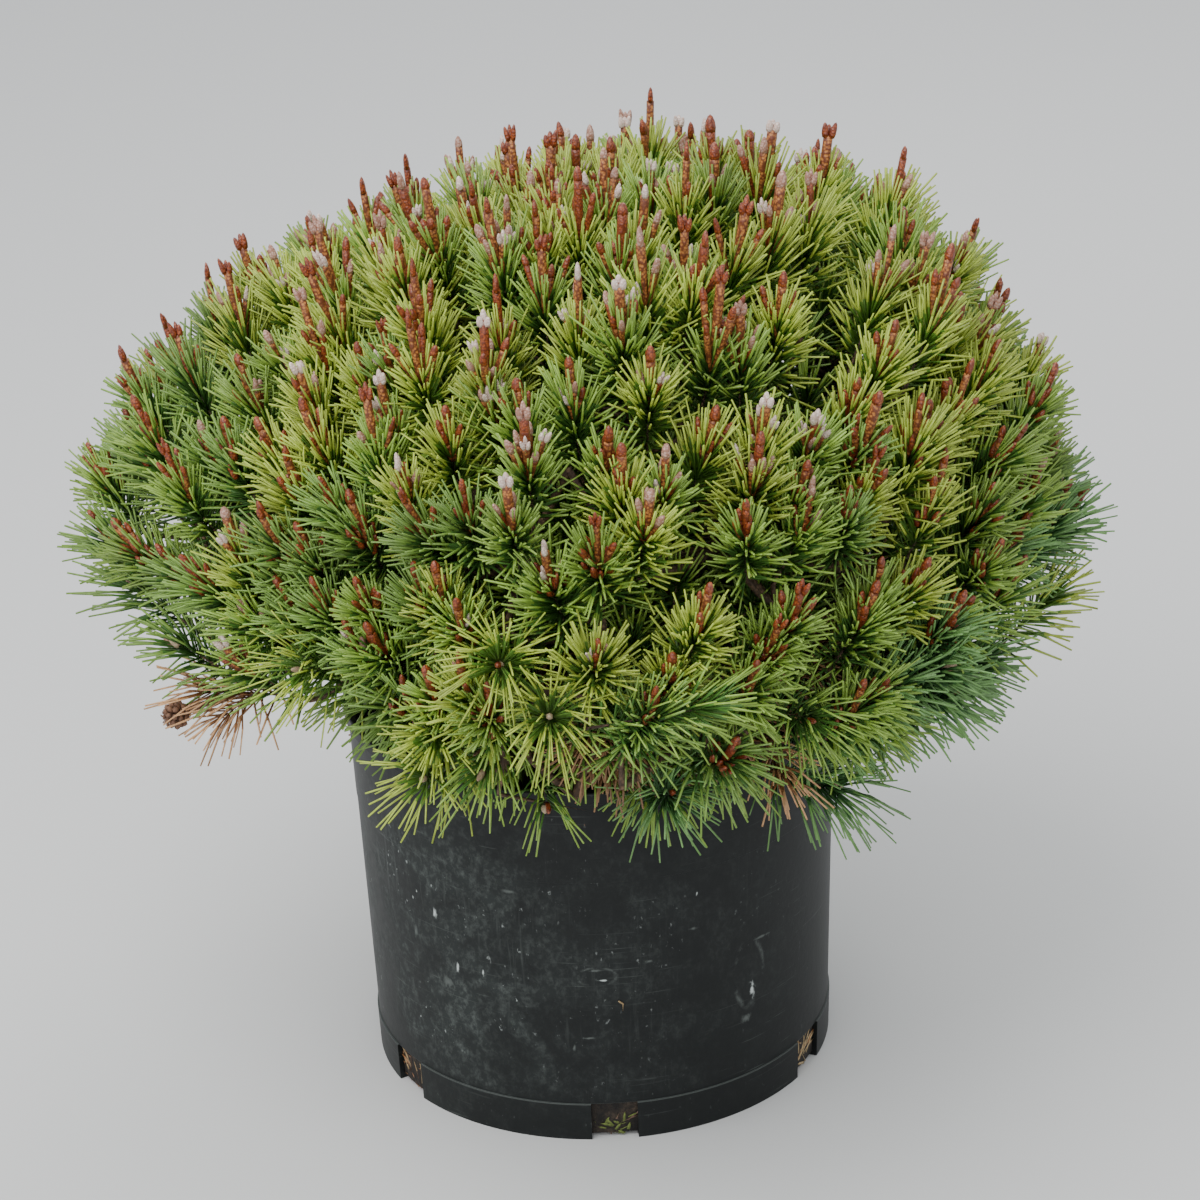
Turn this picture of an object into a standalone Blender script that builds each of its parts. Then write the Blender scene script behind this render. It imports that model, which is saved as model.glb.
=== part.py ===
"""A dwarf mountain pine in a black nursery pot.

A low, dense mound of needles on many boughs that rise from one short stem, which stands
in the pot's potting mix. Metres, +Z up, the origin at the centre of the pot's flat
underside. The side that a viewer sees first faces -Y.
"""

import math
import random

import bmesh
import bpy
from mathutils import Vector

MM = 0.001
GAP = 0.3 * MM
UP = Vector((0, 0, 1))
GOLDEN_ANGLE = math.radians(137.508)
CRISP_DEG = 40
ROUND_DEG = 60

# Pot: a seven-gallon container of thin black plastic
POT_HEIGHT = 281 * MM
POT_TOP_RADIUS = 178 * MM
POT_FOOT_RADIUS = 167.5 * MM
POT_WALL = 2.5 * MM
LIP_HEIGHT = 10 * MM
LIP_DEPTH = 2.5 * MM
LIP_ROUND = 1 * MM
RING_LEVEL = 209 * MM
RING_STEP = 0.5 * MM
BAND_HEIGHT = 29.4 * MM
BAND_DEPTH = 1.2 * MM
FLOOR_THICKNESS = 3 * MM
POT_FACETS = 40
NOTCH_COUNT = 6
NOTCH_WIDTH = 33 * MM
NOTCH_DEPTH = 6 * MM
FRONT_NOTCH_DEG = -88.5

# Potting mix, whose surface is the ground that the plant grows from
SOIL_LEVEL = 255 * MM

# Stem: short and stout, with a root flare where it leaves the potting mix
STEM_TOP = 322 * MM
STEM_RADIUS = 26 * MM
FLARE_RADIUS = 38 * MM
FLARE_HEIGHT = 26 * MM
FLARE_LOBES = 5
LOBE_DEPTH = 0.14
STEM_FACETS = 15

# Crown: a squarish dome, measured from its heart. It stands higher on its +X side, where its
# skirts hang lower too. They are lifted a little at both sides, and its two near corners are
# drawn in. Needles and buds may pass its outline by the slack
HEART = Vector((2 * MM, 0, 345 * MM))
CROWN_RADIUS = 360 * MM
CROWN_RISE = 318 * MM
CROWN_DROP = 112 * MM
DOME_SQUARENESS = 2.4
RIGHT_SIDE_RISE = 0.11
RIGHT_SIDE_DROP = 0.30
BOTH_SIDES_LIFT = 0.20
NEAR_LEFT_INSET = 0.30
NEAR_RIGHT_INSET = 0.16
OUTLINE_SLACK = 9 * MM
SPACE_MARGIN = 0.9 * MM

# Masses of foliage: name, number, elevation of their middles, bearing of the first, the
# lowest level at which their boughs leave the limb that carries them, how far each bough
# climbs above the one two places before it, and the bough's radius there
RINGS = (
    ("lower", 9, -1, 10, 287 * MM, 0, 7.5 * MM),
    ("middle", 8, 31, 30, 309 * MM, 0, 8.0 * MM),
    ("upper", 5, 59, 5, 395 * MM, 5 * MM, 6.5 * MM),
)
LEADER_RADIUS = 13 * MM
BOUGH_TAPER = 0.6
BOUGH_SAG = 0.10
BOUGH_FACETS = 6
BOUGH_STATIONS = 4

# Shares of the way from the crown's heart to its outline
BOUGH_END = 0.50
STEMLET_END = 0.64
CORE_MIDDLE = 0.68
CORE_HALF_DEPTH = 0.14
CORE_HALF_WIDTH = 0.27
CORE_OUTSIDE = 0.83
CORE_STEPS = 40

# Twigs: the stem of a mass, and the twigs that it branches into
STEMLET_RADII = (5 * MM, 4 * MM)
TWIG_RADII = (3.2 * MM, 2.2 * MM)
FIRST_TWIGS = 5
FORK_SHARE = 0.5
SINK = 5 * MM

# Tufts: how many a mass carries, how far they spread, how they lift, and their shoots
TUFTS_PER_MASS = 8
TUFT_SPREAD_DEG = 21
SPREAD_START = 0.4
DRAWN_IN = (1, 0.9, 0.8, 0.7)
LEAST_REACH = 0.75
LEVEL_LIFT = 0.45
STEEPER_LIFT = 0.6
TUFT_LENGTH = 62 * MM
SHOOT_RADII = (5 * MM, 4 * MM)
SHOOT_LEVELS = (0.30, 0.60)

# Needles of a tuft: two whorls, the lower one spreading and the upper one rising
NEEDLES_PER_WHORL = 4
NEEDLE_LENGTH = 44 * MM
SPREADING_DEG = 66
RISING_DEG = 38
LEAN_SPREAD_DEG = 7
NEEDLE_SHARES = (1, 0.8, 0.6, 0.4)

# How far what roots, ends or points near the pot stays from it
ROOT_CLEARANCE = 12 * MM
BUD_CLEARANCE = 6 * MM
NEEDLE_CLEARANCE = 3 * MM


def material(name, colour, roughness):
    made = bpy.data.materials.new(name)
    made.use_nodes = True
    shader = made.node_tree.nodes["Principled BSDF"]
    shader.inputs["Base Color"].default_value = (*colour, 1)
    shader.inputs["Roughness"].default_value = roughness
    shader.inputs["Metallic"].default_value = 0
    return made


def clear_scene():
    for obj in list(bpy.data.objects):
        bpy.data.objects.remove(obj)


# Meshes and solids


def new_object(name, bm, finish, smooth_deg=None):
    """A scene object from a bmesh, which is freed. Its faces point outwards."""
    bmesh.ops.recalc_face_normals(bm, faces=bm.faces)
    mesh = bpy.data.meshes.new(name)
    bm.to_mesh(mesh)
    bm.free()
    mesh.materials.append(finish)
    if smooth_deg is not None:
        mesh.shade_smooth()
        mesh.set_sharp_from_angle(angle=math.radians(smooth_deg))
    obj = bpy.data.objects.new(name, mesh)
    bpy.context.scene.collection.objects.link(obj)
    return obj


def lathe(profile, facets):
    """A closed solid turned about Z from (radius, height) points, listed from axis to axis."""
    bm = bmesh.new()
    points = [bm.verts.new((radius, 0, height)) for radius, height in profile]
    edges = [bm.edges.new(pair) for pair in zip(points, points[1:])]
    bmesh.ops.spin(
        bm, geom=points + edges, axis=UP, cent=(0, 0, 0), steps=facets, angle=math.tau, use_merge=True
    )
    bmesh.ops.remove_doubles(bm, verts=bm.verts, dist=0.01 * MM)
    return bm


def ring_between(bm, lower, upper):
    """The side faces between two rings of as many vertices."""
    count = len(lower)
    return [
        bm.faces.new((lower[k], lower[(k + 1) % count], upper[(k + 1) % count], upper[k]))
        for k in range(count)
    ]


def tube(stations, facets):
    """A closed tapering limb through (centre, direction, radius) stations, with flat ends."""
    bm = bmesh.new()
    rings = []
    for centre, direction, radius in stations:
        turn = direction.to_track_quat("Z", "Y")
        around = [math.tau * k / facets for k in range(facets)]
        offsets = [Vector((math.cos(a), math.sin(a), 0)) * radius for a in around]
        rings.append([bm.verts.new(centre + turn @ offset) for offset in offsets])
    for lower, upper in zip(rings, rings[1:]):
        ring_between(bm, lower, upper)
    bm.faces.new(rings[0])
    bm.faces.new(rings[-1])
    return bm


def boolean(obj, operation, other):
    """Applies a Boolean with an object or with a collection of objects, which are then removed."""
    change = obj.modifiers.new(operation.lower(), "BOOLEAN")
    change.operation = operation
    change.solver = "EXACT"
    if isinstance(other, bpy.types.Collection):
        change.operand_type = "COLLECTION"
        change.collection = other
        used = list(other.objects)
    else:
        change.object = other
        used = [other]
    graph = bpy.context.evaluated_depsgraph_get()
    mesh = bpy.data.meshes.new_from_object(obj.evaluated_get(graph))
    obj.modifiers.remove(change)
    obj.data = mesh
    mesh.name = obj.name
    for tool in used:
        bpy.data.objects.remove(tool)
    if isinstance(other, bpy.types.Collection):
        bpy.data.collections.remove(other)
    return obj


def fuse(name, shapes, finish):
    """One solid from overlapping closed shapes."""
    body = new_object(name, shapes[0], finish)
    group = bpy.data.collections.new(name + "_shapes")
    bpy.context.scene.collection.children.link(group)
    for number, shape in enumerate(shapes[1:]):
        piece = new_object(f"{name}_shape_{number}", shape, finish)
        bpy.context.scene.collection.objects.unlink(piece)
        group.objects.link(piece)
    return boolean(body, "UNION", group)


# Pot and potting mix


def pot_wall_radius(height, top=POT_TOP_RADIUS - LIP_DEPTH, foot=POT_FOOT_RADIUS - BAND_DEPTH):
    """The outer radius of the plain wall, which widens evenly from foot to lip."""
    return foot + (top - foot) * height / POT_HEIGHT


def make_pot(finish):
    lip_foot = POT_HEIGHT - LIP_HEIGHT
    band_radius = pot_wall_radius(BAND_HEIGHT) + BAND_DEPTH
    profile = [
        (0, 0),
        (POT_FOOT_RADIUS, 0),
        (band_radius, BAND_HEIGHT),
        (pot_wall_radius(BAND_HEIGHT), BAND_HEIGHT),
        (pot_wall_radius(RING_LEVEL) - RING_STEP, RING_LEVEL),
        (pot_wall_radius(RING_LEVEL), RING_LEVEL),
        (pot_wall_radius(lip_foot), lip_foot),
        (POT_TOP_RADIUS, lip_foot + LIP_ROUND),
        (POT_TOP_RADIUS, POT_HEIGHT - LIP_ROUND),
        (POT_TOP_RADIUS - LIP_ROUND, POT_HEIGHT),
        (pot_wall_radius(POT_HEIGHT) - POT_WALL, POT_HEIGHT),
        (pot_wall_radius(FLOOR_THICKNESS) - POT_WALL, FLOOR_THICKNESS),
        (0, FLOOR_THICKNESS),
    ]
    pot = new_object("pot", lathe(profile, POT_FACETS), finish, CRISP_DEG)
    inner = pot_wall_radius(0) - POT_WALL - NOTCH_DEPTH
    outer = POT_TOP_RADIUS + POT_WALL
    for number in range(NOTCH_COUNT):
        bearing = math.radians(FRONT_NOTCH_DEG) + math.tau * number / NOTCH_COUNT
        bm = bmesh.new()
        bmesh.ops.create_cube(bm, size=1)
        bmesh.ops.scale(bm, vec=(outer - inner, NOTCH_WIDTH, 2 * BAND_HEIGHT), verts=bm.verts)
        cutter = new_object("notch_cutter", bm, finish)
        cutter.location = direction_of(0, math.degrees(bearing)) * (outer + inner) / 2
        cutter.rotation_euler.z = bearing
        bpy.context.view_layer.update()
        boolean(pot, "DIFFERENCE", cutter)
    return pot


def make_soil(finish):
    """The potting mix fills the pot and has its own flat top, a little below the lip."""
    foot = FLOOR_THICKNESS + GAP
    profile = [
        (0, foot),
        (pot_wall_radius(foot) - POT_WALL - GAP, foot),
        (pot_wall_radius(SOIL_LEVEL) - POT_WALL - GAP, SOIL_LEVEL),
        (0, SOIL_LEVEL),
    ]
    return new_object("potting_mix", lathe(profile, POT_FACETS), finish, CRISP_DEG)


# Crown: its outline, and the space of each mass


def direction_of(elevation_deg, bearing_deg):
    elevation, bearing = math.radians(elevation_deg), math.radians(bearing_deg)
    flat = math.cos(elevation)
    return Vector((flat * math.cos(bearing), flat * math.sin(bearing), math.sin(elevation)))


def reach(direction):
    """How far the crown's outline lies from its heart, along a unit direction."""
    flat = math.hypot(direction.x, direction.y)
    side = direction.x / flat if flat > 1e-9 else 0
    near = max(0, -direction.y / flat) if flat > 1e-9 else 0
    inset = NEAR_LEFT_INSET * max(0, -side) + NEAR_RIGHT_INSET * max(0, side)
    radius = CROWN_RADIUS / (1 + 2 * near * inset)
    rise = CROWN_RISE * (1 + RIGHT_SIDE_RISE * side * flat)
    drop = CROWN_DROP * (1 + RIGHT_SIDE_DROP * side - BOTH_SIDES_LIFT * side**2)
    power = DOME_SQUARENESS if direction.z > 0 else 2
    depth = rise if direction.z > 0 else drop
    return ((flat / radius) ** power + (abs(direction.z) / depth) ** power) ** (-1 / power)


def crown_spaces():
    """Each mass of foliage as (name, middle direction). A mass owns what is nearest its own."""
    spaces = {"top": UP.copy()}
    for ring, count, elevation, first, _, _, _ in RINGS:
        for number in range(count):
            bearing = first + 360 * number / count
            spaces[f"{ring}_{number + 1}"] = direction_of(elevation, bearing)
    return spaces


def room_in_space(point, middle, others):
    """How far a point lies inside its mass's space: outside it, this is negative."""
    offset = point - HEART
    aside = min(offset.dot((middle - other).normalized()) for other in others)
    return min(aside, reach(offset.normalized()) + OUTLINE_SLACK - offset.length)


def clear_of_pot(point, margin):
    over_pot = math.hypot(point.x, point.y) < POT_TOP_RADIUS + margin
    return point.z > POT_HEIGHT + margin or not over_pot


# Limbs


def limb_curve(start, end, sag):
    """A limb's line from start to end as a function of 0 to 1. It bows down, then lifts."""
    middle = (start + end) / 2 - UP * sag * (end - start).length

    def point(t):
        return start * (1 - t) ** 2 + middle * 2 * t * (1 - t) + end * t**2

    def heading(t):
        return ((middle - start) * (1 - t) + (end - middle) * t).normalized()

    return point, heading


def limb_mesh(start, end, sag, radius, swell=0):
    point, heading = limb_curve(start, end, sag)
    stations = []
    for number in range(BOUGH_STATIONS):
        t = number / (BOUGH_STATIONS - 1)
        width = radius * (1 - (1 - BOUGH_TAPER) * t) + swell
        stations.append((point(t), heading(t), width))
    return tube(stations, BOUGH_FACETS)


def stem_mesh(swell=0):
    """The stem from its flat cut at the potting mix to its flat top, with a lobed root flare."""
    bm = bmesh.new()
    foot = SOIL_LEVEL + GAP
    levels = (foot, foot + FLARE_HEIGHT / 2, foot + FLARE_HEIGHT, STEM_TOP)
    rings = []
    for level in levels:
        flare = max(0, 1 - (level - foot) / FLARE_HEIGHT) ** 2
        ring = []
        for k in range(STEM_FACETS):
            around = math.tau * k / STEM_FACETS
            lobe = 1 + LOBE_DEPTH * math.cos(FLARE_LOBES * around)
            radius = STEM_RADIUS + (FLARE_RADIUS * lobe - STEM_RADIUS) * flare + swell
            ring.append(bm.verts.new((radius * math.cos(around), radius * math.sin(around), level)))
        rings.append(ring)
    for vert in rings[-1]:
        vert.co.z += swell
    for lower, upper in zip(rings, rings[1:]):
        ring_between(bm, lower, upper)
    bm.faces.new(rings[0])
    bm.faces.new(rings[-1])
    return bm


def bough_tip(direction):
    return HEART + direction * reach(direction) * BOUGH_END


def limb_lines(spaces):
    """Each mass's limb as its start, its end and its sag, and the limb's first radius."""
    lines = {"top": ((Vector((0, 0, STEM_TOP + GAP)), bough_tip(UP), 0), LEADER_RADIUS)}
    for ring, count, _, _, lowest, climb, radius in RINGS:
        for number in range(count):
            direction = spaces[f"{ring}_{number + 1}"]
            bearing = Vector((direction.x, direction.y, 0)).normalized()
            level = lowest + climb * (2 * number % count)
            start = Vector((0, 0, level)) + bearing * radius
            lines[f"{ring}_{number + 1}"] = ((start, bough_tip(direction), BOUGH_SAG), radius)
    return lines


def make_bough(name, line, radius, carrier, finish):
    """A bough that leaves its carrier's side, cut to sit 0.3 mm clear of it."""
    bough = new_object("bough_" + name, limb_mesh(*line, radius), finish, ROUND_DEG)
    cutter = new_object("bough_cutter", carrier, finish)
    bpy.context.view_layer.update()
    return boolean(bough, "DIFFERENCE", cutter)


# Foliage


def tuft_places(direction, others, count):
    """Where a mass's tufts root and which way they point, on a golden spiral about its middle.

    A place that falls outside the mass's space, or too close to the heart, is drawn in towards
    the middle until it fits.
    """
    turn = direction.to_track_quat("Z", "Y")
    places = []
    for number in range(count):
        around = number * GOLDEN_ANGLE
        spread = math.radians(TUFT_SPREAD_DEG) * math.sqrt((number + SPREAD_START) / count)
        for drawn_in in DRAWN_IN:
            flat = math.sin(spread * drawn_in)
            level = math.cos(spread * drawn_in)
            outward = turn @ Vector((flat * math.cos(around), flat * math.sin(around), level))
            heading = (outward + UP * (LEVEL_LIFT + STEEPER_LIFT * outward.z)).normalized()
            tip = HEART + outward * reach(outward)
            root = tip - heading * TUFT_LENGTH
            roomy = min(room_in_space(root, direction, others), room_in_space(tip, direction, others))
            clear = clear_of_pot(root, ROOT_CLEARANCE) and clear_of_pot(tip, BUD_CLEARANCE)
            far_out = reach(outward) > LEAST_REACH * reach(direction)
            if roomy > SPACE_MARGIN and clear and far_out:
                places.append((root, heading))
                break
    return places


def twig_mesh(start, end):
    heading = (end - start).normalized()
    first, last = TWIG_RADII
    return tube([(start, heading, first), (end + heading * SINK, heading, last)], 3)


def tuft_mesh(root, heading, direction, others, draw):
    """A slim shoot with a bud, from which two whorls of needles stand out.

    Each needle is raised from a face of the shoot, and shortened or left out where it
    would leave the mass's space.
    """
    bm = bmesh.new()
    turn = heading.to_track_quat("Z", "Y")
    twist = draw.uniform(0, math.tau)

    def ring(level, radius):
        around = [twist + math.tau * k / NEEDLES_PER_WHORL for k in range(NEEDLES_PER_WHORL)]
        height = level * TUFT_LENGTH
        return [
            bm.verts.new(root + turn @ Vector((radius * math.cos(a), radius * math.sin(a), height)))
            for a in around
        ]

    def cone(base, point):
        return [bm.faces.new((vert, base[k - 1], point)) for k, vert in enumerate(base)]

    low, high = [ring(level, radius) for level, radius in zip(SHOOT_LEVELS, SHOOT_RADII)]
    spreading = cone(low, bm.verts.new(root))
    rising = ring_between(bm, low, high)
    cone(high, bm.verts.new(root + heading * TUFT_LENGTH))
    for faces, lean_deg in ((spreading, SPREADING_DEG), (rising, RISING_DEG)):
        for face in faces:
            middle = face.calc_center_median()
            sideways = middle - root
            sideways = (sideways - heading * sideways.dot(heading)).normalized()
            lean = math.radians(lean_deg + draw.uniform(-LEAN_SPREAD_DEG, LEAN_SPREAD_DEG))
            needle = (heading * math.cos(lean) + sideways * math.sin(lean)) * NEEDLE_LENGTH
            raised = bmesh.ops.poke(bm, faces=[face])["verts"][0]
            for share in NEEDLE_SHARES:
                tip = middle + needle * share
                roomy = room_in_space(tip, direction, others) > SPACE_MARGIN
                if roomy and clear_of_pot(tip, NEEDLE_CLEARANCE):
                    raised.co = tip
                    break
    return bm


def core_mesh(direction, others):
    """The dense heart of a mass, drawn in where it would leave the mass's space."""
    bm = bmesh.new()
    bmesh.ops.create_icosphere(bm, subdivisions=2, radius=1)
    size = reach(direction)
    width = CORE_HALF_WIDTH * size
    bmesh.ops.scale(bm, vec=(width, width, CORE_HALF_DEPTH * size), verts=bm.verts)
    turn = direction.to_track_quat("Z", "Y").to_matrix()
    bmesh.ops.rotate(bm, cent=(0, 0, 0), matrix=turn, verts=bm.verts)
    centre = direction * size * CORE_MIDDLE
    sides = [(direction - other).normalized() for other in others]
    for vert in bm.verts:
        offset = vert.co.copy()
        for shrink in range(CORE_STEPS):
            spot = centre + offset * (1 - shrink / CORE_STEPS)
            within = spot.length < reach(spot.normalized()) * CORE_OUTSIDE
            if within and min(spot.dot(side) for side in sides) > SPACE_MARGIN:
                break
        vert.co = HEART + spot
    return bm


def stemlet_mesh(line, direction):
    """The short stem of a mass, from 0.3 mm beyond its bough's tip into the core."""
    _, heading = limb_curve(*line)
    ahead = heading(1)
    start = bough_tip(direction) + ahead * GAP
    end = HEART + direction * reach(direction) * STEMLET_END
    first, last = STEMLET_RADII
    return tube([(start, ahead, first), (end, direction, last)], BOUGH_FACETS)


def make_foliage(name, line, direction, others, finish):
    draw = random.Random(name)
    heart = HEART + direction * reach(direction) * STEMLET_END
    places = tuft_places(direction, others, TUFTS_PER_MASS)
    shapes = [core_mesh(direction, others), stemlet_mesh(line, direction)]
    for number, (root, heading) in enumerate(places):
        if number < FIRST_TWIGS:
            start = heart
        else:
            nearest = min(places[:FIRST_TWIGS], key=lambda place: (place[0] - root).length)
            start = heart.lerp(nearest[0], FORK_SHARE)
        shapes.append(twig_mesh(start, root))
        shapes.append(tuft_mesh(root, heading, direction, others, draw))
    return fuse("foliage_" + name, shapes, finish)


def main():
    clear_scene()
    plastic = material("black_plastic", (0.028, 0.031, 0.031), 0.5)
    mix = material("potting_mix", (0.045, 0.030, 0.020), 0.95)
    bark = material("bark", (0.16, 0.105, 0.07), 0.9)
    needles = material("needles", (0.12, 0.23, 0.05), 0.55)

    make_pot(plastic)
    make_soil(mix)
    new_object("stem", stem_mesh(), bark, ROUND_DEG)
    spaces = crown_spaces()
    lines = limb_lines(spaces)
    leader_line, leader_radius = lines["top"]
    new_object("leader", limb_mesh(*leader_line, leader_radius), bark, ROUND_DEG)
    for name, direction in spaces.items():
        line, radius = lines[name]
        if name.startswith("upper"):
            make_bough(name, line, radius, limb_mesh(*leader_line, leader_radius, GAP), bark)
        elif name != "top":
            make_bough(name, line, radius, stem_mesh(GAP), bark)
        others = [other for other in spaces.values() if other is not direction]
        make_foliage(name, line, direction, others, needles)


main()
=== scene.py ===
"""The looks of a dwarf mountain pine in its black nursery pot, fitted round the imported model.

Every mass of foliage is grown here from its bough, by the same rule as the solids: a golden
spiral of shoots about the mass's middle, kept to the mass's own space and to the crown's
outline, but with many more, finer shoots. Needles, candles and twigs are joined meshes.
"""

import math
import random

import bmesh
import bpy
import numpy as np
from mathutils import Matrix, Vector, noise

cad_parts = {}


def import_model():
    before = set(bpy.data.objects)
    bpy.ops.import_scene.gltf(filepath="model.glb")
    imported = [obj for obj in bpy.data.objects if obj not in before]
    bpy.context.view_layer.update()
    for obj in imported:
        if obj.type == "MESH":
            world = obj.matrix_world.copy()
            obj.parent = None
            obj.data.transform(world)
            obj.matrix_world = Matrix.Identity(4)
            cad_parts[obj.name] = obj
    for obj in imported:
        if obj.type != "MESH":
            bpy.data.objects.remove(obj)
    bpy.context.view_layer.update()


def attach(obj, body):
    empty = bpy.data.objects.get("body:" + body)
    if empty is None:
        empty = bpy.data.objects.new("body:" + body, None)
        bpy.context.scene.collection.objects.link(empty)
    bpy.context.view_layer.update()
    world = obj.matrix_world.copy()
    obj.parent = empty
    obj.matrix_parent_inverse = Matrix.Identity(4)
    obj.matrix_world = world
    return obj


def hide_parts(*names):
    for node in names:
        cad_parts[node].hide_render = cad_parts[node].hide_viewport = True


MM = 0.001
UP = Vector((0, 0, 1))
GOLDEN_ANGLE = math.radians(137.508)

# Camera, fitted to the pot's outline in the photograph
IMAGE_SIZE = 1200
SENSOR = 36
FOCAL_PIXELS = 3800
CAMERA_ELEVATION_DEG = 24.9
CAMERA_DISTANCE = 2.722
CAMERA_ROLL_DEG = -2.39
AIM = UP * 0.300
AIM_PIXEL_OFFSET = (-10.5, 56.8)

# Pot, as in the solids
POT_HEIGHT = 281 * MM
POT_TOP_RADIUS = 178 * MM
POT_FOOT_RADIUS = 167.5 * MM
POT_WALL = 2.5 * MM
LIP_HEIGHT = 10 * MM
LIP_DEPTH = 2.5 * MM
LIP_ROUND = MM
RING_LEVEL = 209 * MM
RING_STEP = 0.5 * MM
BAND_HEIGHT = 29.4 * MM
BAND_DEPTH = 1.2 * MM
FLOOR_THICKNESS = 3 * MM
NOTCH_COUNT = 6
NOTCH_WIDTH = 33 * MM
NOTCH_DEPTH = 6 * MM
FRONT_NOTCH_DEG = -88.5
SOIL_LEVEL = 255 * MM
SOIL_GAP = 0.3 * MM
MIX_RINGS = 24
MIX_SEGMENTS = 96
POT_SEGMENTS = 144
POT_EDGE = 0.35 * MM

# Scuffs and flecks on the pot: bearing, level, half-width and half-height in millimetres, and
# paint. An arc is a broken curved scratch round its place
POT_MARKS = (
    (240.6, 129, 3, 11, "white"),
    (233.4, 127, 4, 11, "white"),
    (227.5, 166, 6, 13, "white"),
    (220.0, 142, 7, 14, "chalk"),
    (230.0, 112, 12, 12, "chalk"),
    (268.0, 139, 13, 3, "chalk"),
    (270.0, 131, 11, 2, "white"),
    (266.0, 84, 12, 3, "chalk"),
    (262.5, 76, 4, 9, "chalk"),
    (311.5, 137, 22, 3, "chalk"),
    (308.4, 98, 7, 20, "white"),
    (306.5, 76, 14, 9, "chalk"),
    (293.0, 190, 2, 6, "white"),
    (292.0, 163, 9, 4, "chalk"),
    (281.0, 143, 8, 4, "chalk"),
    (249.0, 199, 14, 5, "chalk"),
    (268.5, 134, 21, 11, "arc"),
    (307.5, 112, 20, 40, "arc"),
)

# A bit of straw stuck to the pot: bearing, level of its top, and length
STRAW_BIT = (274.3, 114 * MM, 9 * MM)

# Stem, as in the solids
STEM_TOP = 322 * MM
STEM_RADIUS = 26 * MM
FLARE_RADIUS = 38 * MM
FLARE_HEIGHT = 26 * MM
FLARE_LOBES = 5
LOBE_DEPTH = 0.14

# Crown, as in the solids
HEART = Vector((2 * MM, 0, 345 * MM))
CROWN_RADIUS = 360 * MM
CROWN_RISE = 318 * MM
CROWN_DROP = 112 * MM
DOME_SQUARENESS = 2.4
RIGHT_SIDE_RISE = 0.11
RIGHT_SIDE_DROP = 0.30
BOTH_SIDES_LIFT = 0.20
NEAR_LEFT_INSET = 0.30
NEAR_RIGHT_INSET = 0.16
LEAST_REACH = 0.75

# Rings of masses: name, count, elevation, first bearing, the lowest level where a bough leaves
# the stem, the step up to the next one, and a bough's radius there
RINGS = (
    ("lower", 9, -1, 10, 287 * MM, 0, 7.5 * MM),
    ("middle", 8, 31, 30, 309 * MM, 0, 8.0 * MM),
    ("upper", 5, 59, 5, 395 * MM, 5 * MM, 6.5 * MM),
)
LEADER_RADIUS = 13 * MM
BOUGH_TAPER = 0.6
BOUGH_SAG = 0.10
BOUGH_END = 0.50
STEMLET_END = 0.64
STEMLET_RADIUS = 4 * MM

# How finely the limbs are made, with the depth and grain of their bark
STEM_SIDES = 40
STEM_RINGS = 18
STEM_BARK = (0.16, 70)
BOUGH_SIDES = 14
BOUGH_RINGS = 20
BOUGH_BARK = (0.28, 120)
STEMLET_SIDES = 10
STEMLET_BARK = (0.25, 150)

# Shoots: the spiral is finer than the solids' one, with two sparse layers under it. Each layer
# has its name, its spiral's step in degrees, a shoot's needles, their size and girth, and how
# much of the outline's reach it has
LAYERS = (
    ("outer", 4.7, 122, 1.0, 1.0, 1.0),
    ("inner", 6.2, 42, 1.0, 1.0, 0.80),
    ("core", 8.6, 34, 1.35, 1.5, 0.60),
)
SPREAD_START = 0.4
TWIG_STEP_DEG = 8.0
WIDEST_DEG = 34
LOWEST_RISE = -0.30
STEP_JITTER = 0.032
LEVEL_LIFT = 0.60
STEEPER_LIFT = 0.5
LOWER_FALL = 1.6
HEADING_JITTER = 0.17
SHOOT_LENGTH = 54 * MM
SHOOT_SIZES = (0.84, 1.18)
FORK_REACH = 0.76
TWIG_RADII = (3.2 * MM, 2.4 * MM)
SHOOT_RADII = (2.4 * MM, 2.0 * MM, 1.8 * MM)

# Lumps of the outline: each mass is a dome of its own, and its shoots stand unevenly. Needles
# end a little lower at the top, where the candles stand over them
MASS_FALL = 0.03
MASS_FALL_DEG = 20
UNEVEN_GRAIN = 5.5
UNEVEN_BY = 0.035
EACH_UNEVEN_BY = 0.024
ENDS_AT = 1.015
CANDLE_ROOM = 0.03
HIGHEST_SHARE = 96

# Where the crown swells past its even outline: bearing, elevation, half-width in degrees and
# share of the reach
SWELLINGS = (
    (182, 8, 40, 0.058),
    (190, -14, 20, 0.075),
    (355, 62, 28, 0.045),
    (215, 66, 16, 0.025),
)
SWELLING_TOP = 1.7

# Where the crown opens on its dark inside, as (bearing, elevation, half-width in degrees)
OPENINGS = (
    (248, 40, 4.0),
    (288, 18, 4.5),
    (272, 0, 9.5),
    (267, -13, 10.0),
)

# Needles: their size, and how they leave a shoot from its foot to its tip
LOW_RISE = 0.10
LOW_COUNT_SHARE = 0.66
LOW_SIZE = 1.14
NEEDLE_SIDES = 3
NEEDLE_RADIUS = 1.02 * MM
NEEDLE_GIRTH = (0.80, 1.0, 0.74)
# The foot and first band of a needle take the darker foot colour, painted shade in part. The second
# band and the end take the end colour.
NEEDLE_SLOTS = (0, 0, 1, 1)
LONGEST_NEEDLE = 47 * MM
SHORTEST_NEEDLE = 37 * MM
FOOT_LEAN_DEG = 78
TIP_LEAN_DEG = 20
LOW_TIP_LEAN_DEG = 12
LEAN_SPREAD_DEG = 10
TURN_SPREAD = 0.35
COUNT_SPREAD = (0.8, 1.2)
LENGTH_SPREAD = (0.80, 1.12)
GIRTH_SPREAD = (0.85, 1.12)
NEEDLE_BEND_DEG = 6
BEND_SPREAD = (-0.6, 1.6)
DROOP_START = 0.5
DROOP_PER_RISE = 2.0
DROOP = 0.75
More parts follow.
